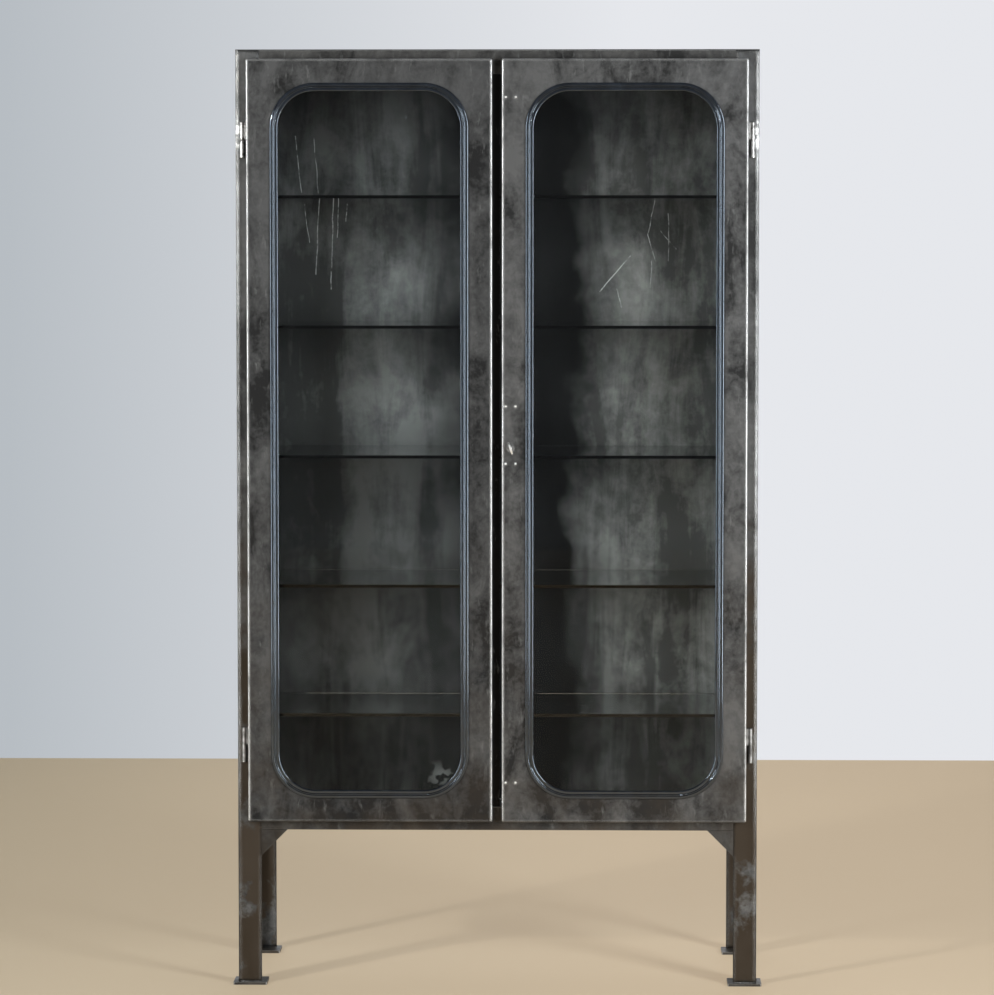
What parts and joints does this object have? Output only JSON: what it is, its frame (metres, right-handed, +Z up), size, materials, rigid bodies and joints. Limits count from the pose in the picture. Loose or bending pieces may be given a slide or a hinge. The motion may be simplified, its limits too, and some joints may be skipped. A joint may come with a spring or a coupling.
{
  "type": "medical cabinet",
  "caption": "Free-standing steel medical cabinet on angle-iron legs, with hinged glazed doors, glass shelves and a key lock that drives rods to the top and bottom rails.",
  "frame": {"origin": "on the floor, midway across the width and midway between the front of the key and the rear feet", "axes": "+X to the right seen from the front, +Y to the back, +Z up"},
  "size_m": [1.02, 0.4592, 1.8],
  "materials": {
    "frame_steel": "dark raw steel",
    "door_steel": "dark raw steel",
    "sheet_steel": "dark raw steel",
    "hinge_steel": "worn bright",
    "lock_steel": "satin",
    "key_steel": "polished",
    "window_glass": "clear",
    "shelf_glass": "clear, ground edges",
    "gasket_rubber": "glossy black"
  },
  "bodies": {
    "cabinet": {"back_sheet": "sheet_steel", "floor_sheet": "sheet_steel", "front_bottom_rail": "frame_steel", "front_gussets": "frame_steel", "front_left_foot": "frame_steel", "front_left_post": "frame_steel", "front_right_foot": "frame_steel", "front_right_post": "frame_steel", "front_top_rail": "frame_steel", "glass_shelf_1": "shelf_glass", "glass_shelf_2": "shelf_glass", "glass_shelf_3": "shelf_glass", "glass_shelf_4": "shelf_glass", "glass_shelf_5": "shelf_glass", "hinge_pins": "hinge_steel", "hinge_washers": "hinge_steel", "left_bottom_rail": "frame_steel", "left_lower_frame_knuckle": "hinge_steel", "left_shelf_ledges": "sheet_steel", "left_side_sheet": "sheet_steel", "left_top_rail": "frame_steel", "left_upper_frame_knuckle": "hinge_steel", "rear_bottom_rail": "frame_steel", "rear_gussets": "frame_steel", "rear_left_foot": "frame_steel", "rear_left_post": "frame_steel", "rear_right_foot": "frame_steel", "rear_right_post": "frame_steel", "rear_top_rail": "frame_steel", "right_bottom_rail": "frame_steel", "right_lower_frame_knuckle": "hinge_steel", "right_shelf_ledges": "sheet_steel", "right_side_sheet": "sheet_steel", "right_top_rail": "frame_steel", "right_upper_frame_knuckle": "hinge_steel", "top_sheet": "sheet_steel"},
    "left_door": {"left_door_pan": "door_steel", "left_pane": "window_glass", "left_gasket": "gasket_rubber", "left_gasket_filler": "gasket_rubber", "meeting_strip": "door_steel", "left_lower_door_knuckle": "hinge_steel", "left_upper_door_knuckle": "hinge_steel"},
    "right_door": {"right_door_pan": "door_steel", "right_pane": "window_glass", "right_gasket": "gasket_rubber", "right_gasket_filler": "gasket_rubber", "right_lower_door_knuckle": "hinge_steel", "right_upper_door_knuckle": "hinge_steel", "lock_plate": "lock_steel", "lock_cover": "lock_steel", "lower_rod_guide": "lock_steel", "upper_rod_guide": "lock_steel", "lock_rivets": "key_steel", "guide_rivets": "key_steel"},
    "lock_cylinder": {"lock_pinion": "lock_steel"},
    "key": {"key": "key_steel"},
    "upper_rod": {"upper_rod": "lock_steel"},
    "lower_rod": {"lower_rod": "lock_steel"}
  },
  "joints": [
    {"name": "left_door_swing", "type": "hinge", "parent": "cabinet", "child": "left_door", "pos_m": [-0.487, -0.1864, 1.047], "axis": [0, 0, -1], "range_deg": [0, 150]},
    {"name": "right_door_swing", "type": "hinge", "parent": "cabinet", "child": "right_door", "pos_m": [0.487, -0.1864, 1.047], "axis": [0, 0, 1], "range_deg": [0, 150]},
    {"name": "key_turn", "type": "hinge", "parent": "right_door", "child": "lock_cylinder", "pos_m": [0.026, -0.1714, 1.04], "axis": [0, 1, 0], "range_deg": [0, 90]},
    {"name": "key_draw", "type": "slide", "parent": "lock_cylinder", "child": "key", "axis": [0, -1, 0], "range_m": [0, 0.03]},
    {"name": "upper_rod_slide", "type": "slide", "parent": "right_door", "child": "upper_rod", "axis": [0, 0, 1], "range_m": [0, 0.01178]},
    {"name": "lower_rod_slide", "type": "slide", "parent": "right_door", "child": "lower_rod", "axis": [0, 0, -1], "range_m": [0, 0.0119]}
  ],
  "couplings": [
    {"joint": "key_turn", "follows": "upper_rod_slide", "rad_per_m": 133.33},
    {"joint": "lower_rod_slide", "follows": "upper_rod_slide", "ratio": 1}
  ]
}
